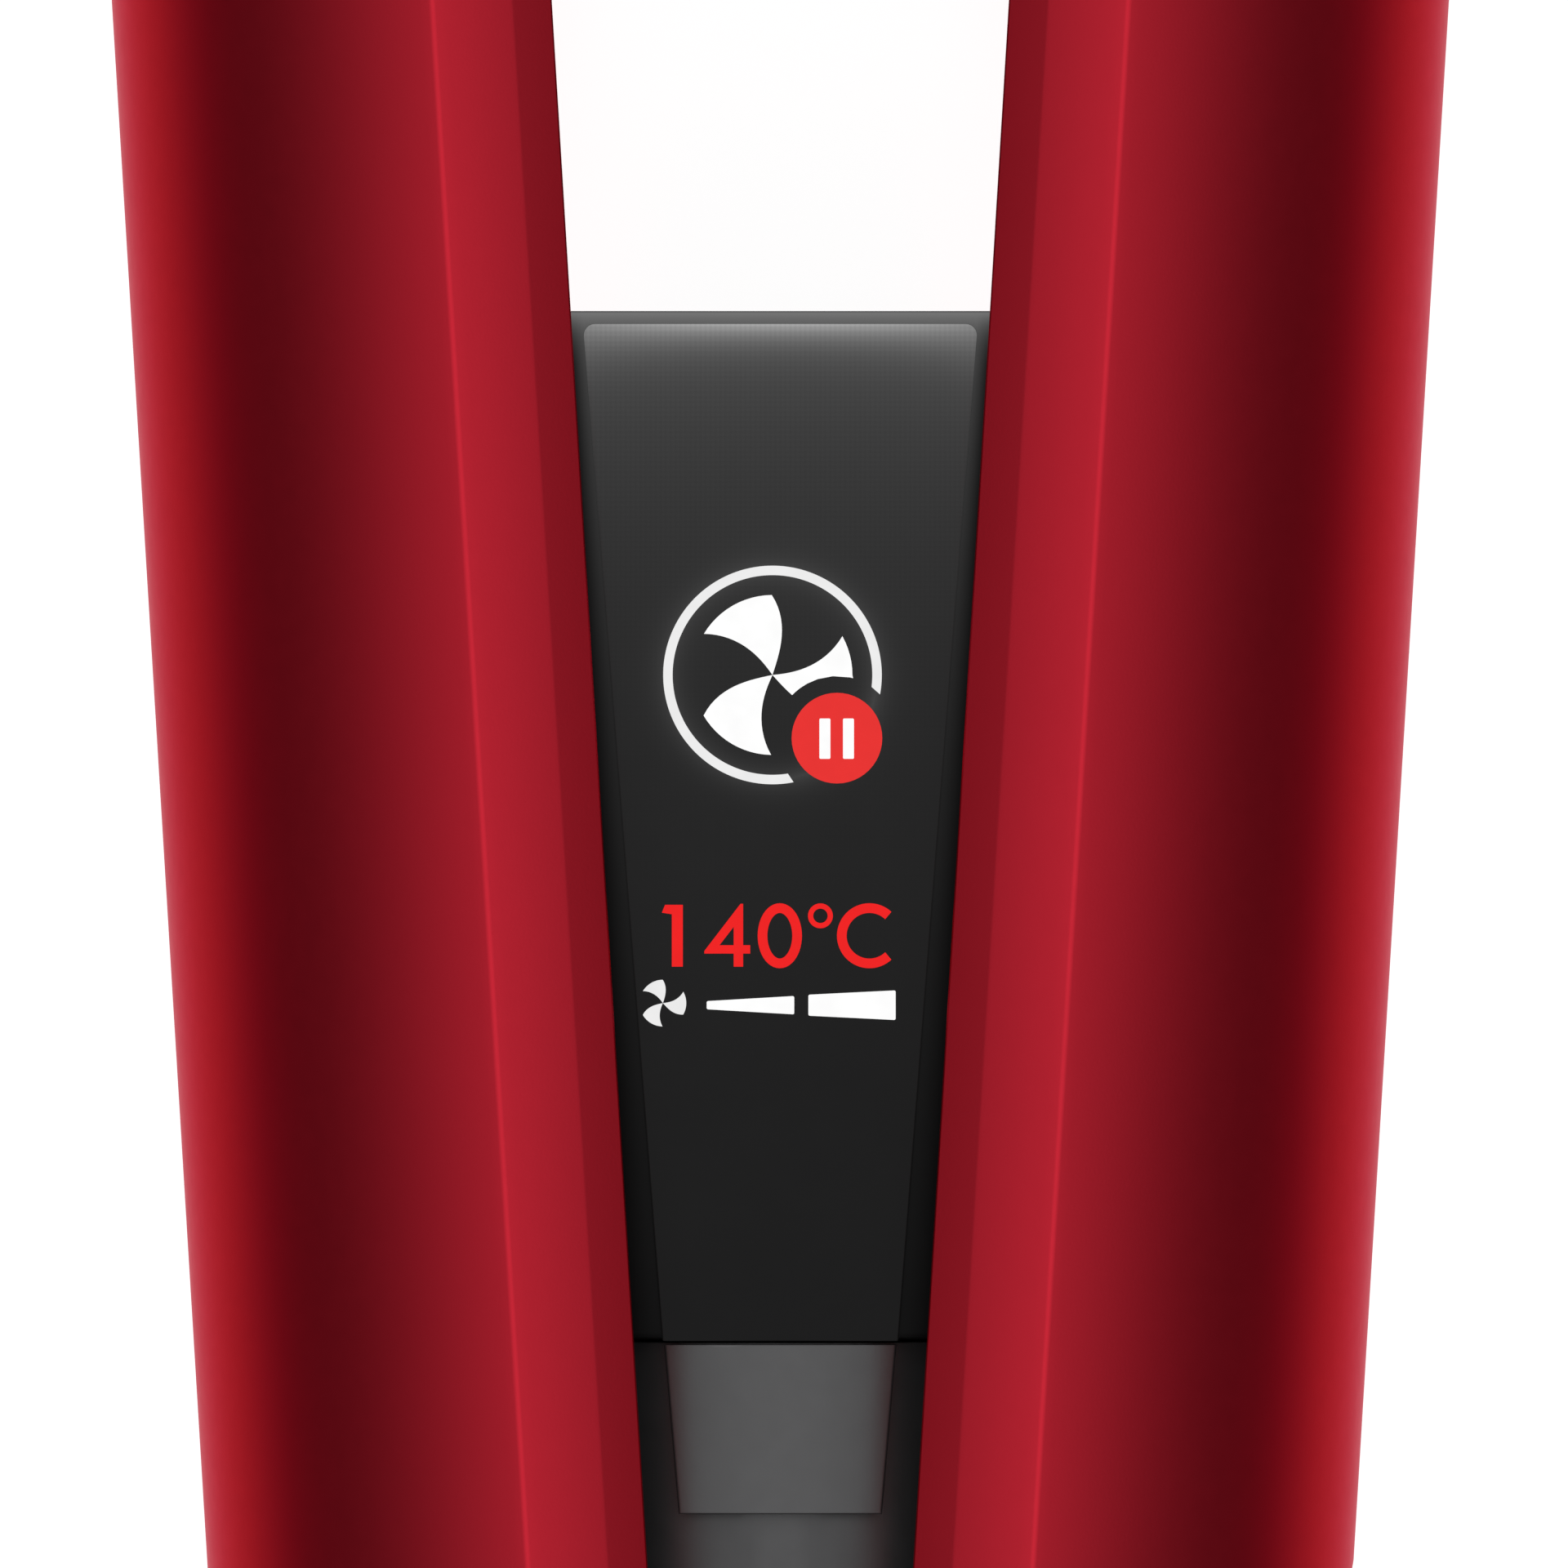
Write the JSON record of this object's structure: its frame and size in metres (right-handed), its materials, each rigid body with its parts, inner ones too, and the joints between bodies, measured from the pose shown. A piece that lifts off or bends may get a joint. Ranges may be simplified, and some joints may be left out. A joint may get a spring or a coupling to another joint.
{
  "type": "hair straightener",
  "caption": "Hot-air hair straightener with a pair of sprung arms, a display in their crotch, nozzle jaws, a grey neck and a slotted filter cage behind.",
  "frame": {"origin": "middle of the footprint, at the level of the table that the object lies on", "axes": "+Y towards the tips of the arms, +Z out of the display, X across the arms"},
  "size_m": [0.069, 0.315, 0.038],
  "materials": {
    "red_shell": "satin metallic red lacquer over moulded plastic",
    "neck_grey": "satin grey, moulded",
    "black_plastic": "satin black, moulded",
    "display_glass": "smoked display window, polished",
    "lcd": "dark panel with lit symbols",
    "circuit_board": "green solder mask",
    "steel": "plain steel",
    "aluminium": "fine satin",
    "rubber": "matt black rubber",
    "silicone": "matt dark silicone",
    "mica": "pressed mica board"
  },
  "bodies": {
    "body": {"air_splitter": "black_plastic", "air_tube": "black_plastic", "cable_carrier": "black_plastic", "control_board": "circuit_board", "display_board": "circuit_board", "display_housing": "black_plastic", "display_lens": "display_glass", "front_bearing": "steel", "front_bearing_carrier": "aluminium", "hinge_collar": "aluminium", "lcd_panel": "lcd", "left_hinge_pin_back": "steel", "left_hinge_pin_front": "steel", "left_opening_spring": "steel", "motor_housing": "aluminium", "motor_mount": "rubber", "neck_sleeve": "neck_grey", "rear_bearing": "steel", "rear_bearing_carrier": "aluminium", "rear_housing": "neck_grey", "right_hinge_pin_back": "steel", "right_hinge_pin_front": "steel", "right_opening_spring": "steel", "stator": "steel"},
    "right_arm": {"right_arm_shell": "red_shell", "right_inner_cover": "black_plastic", "right_tip_cap": "red_shell", "right_nozzle_plate": "aluminium", "right_tension_frame": "silicone", "right_heater_tray": "mica", "right_heater_core": "steel", "right_air_duct": "black_plastic", "right_end_plate": "black_plastic", "right_switch_board": "circuit_board", "right_hinge_plate_front": "steel", "right_hinge_plate_back": "steel"},
    "left_arm": {"left_arm_shell": "red_shell", "left_inner_cover": "black_plastic", "left_tip_cap": "red_shell", "left_nozzle_plate": "aluminium", "left_tension_frame": "silicone", "left_heater_tray": "mica", "left_heater_core": "steel", "left_air_duct": "black_plastic", "left_end_plate": "black_plastic", "left_switch_board": "circuit_board", "left_hinge_plate_front": "steel", "left_hinge_plate_back": "steel"},
    "temperature_button": {"temperature_button": "black_plastic"},
    "airflow_button": {"airflow_button": "black_plastic"},
    "cool_button": {"cool_button": "black_plastic"},
    "power_button": {"power_button": "black_plastic"},
    "lock_slider": {"lock_slider": "neck_grey"},
    "rotor": {"rotor_shaft": "steel", "rotor_magnet": "steel", "impeller": "aluminium"},
    "cord_gland": {"cord_gland": "rubber"},
    "filter": {"filter_cage": "neck_grey", "filter_mesh": "steel"}
  },
  "joints": [
    {"name": "right_arm_hinge", "type": "hinge", "parent": "body", "child": "right_arm", "pos_m": [0.009, -0.08251, 0.019], "axis": [0, 0, 1], "range_deg": [0, 3.5], "stiffness_Nm_per_rad": 4, "springref_deg": -3.44, "deforming": ["right_opening_spring"]},
    {"name": "left_arm_hinge", "type": "hinge", "parent": "body", "child": "left_arm", "pos_m": [-0.009, -0.08251, 0.019], "axis": [0, 0, 1], "range_deg": [-3.5, 0], "stiffness_Nm_per_rad": 4, "springref_deg": 3.44, "deforming": ["left_opening_spring"]},
    {"name": "temperature_press", "type": "slide", "parent": "right_arm", "child": "temperature_button", "axis": [-0.9981, 0.061, 0], "range_m": [0, 0.0008], "stiffness_N_per_m": 2500},
    {"name": "airflow_press", "type": "slide", "parent": "right_arm", "child": "airflow_button", "axis": [-0.9981, 0.061, 0], "range_m": [0, 0.0008], "stiffness_N_per_m": 2500},
    {"name": "cool_press", "type": "slide", "parent": "left_arm", "child": "cool_button", "axis": [0.9981, 0.061, 0], "range_m": [0, 0.0008], "stiffness_N_per_m": 2500},
    {"name": "power_press", "type": "slide", "parent": "body", "child": "power_button", "axis": [0, 0, -1], "range_m": [0, 0.0008], "stiffness_N_per_m": 2500},
    {"name": "lock_slide", "type": "slide", "parent": "body", "child": "lock_slider", "axis": [0, -1, 0], "range_m": [0, 0.0033]},
    {"name": "filter_slide", "type": "slide", "parent": "body", "child": "filter", "axis": [0, -1, 0], "range_m": [0, 0.045]},
    {"name": "rotor_spin", "type": "hinge", "parent": "body", "child": "rotor", "pos_m": [0, -0.12251, 0.019], "axis": [0, 1, 0], "continuous": true},
    {"name": "cord_swivel", "type": "hinge", "parent": "body", "child": "cord_gland", "pos_m": [0, -0.15451, 0.019], "axis": [0, 1, 0], "continuous": true}
  ],
  "couplings": [
    {"joint": "left_arm_hinge", "follows": "right_arm_hinge", "ratio": -1}
  ]
}
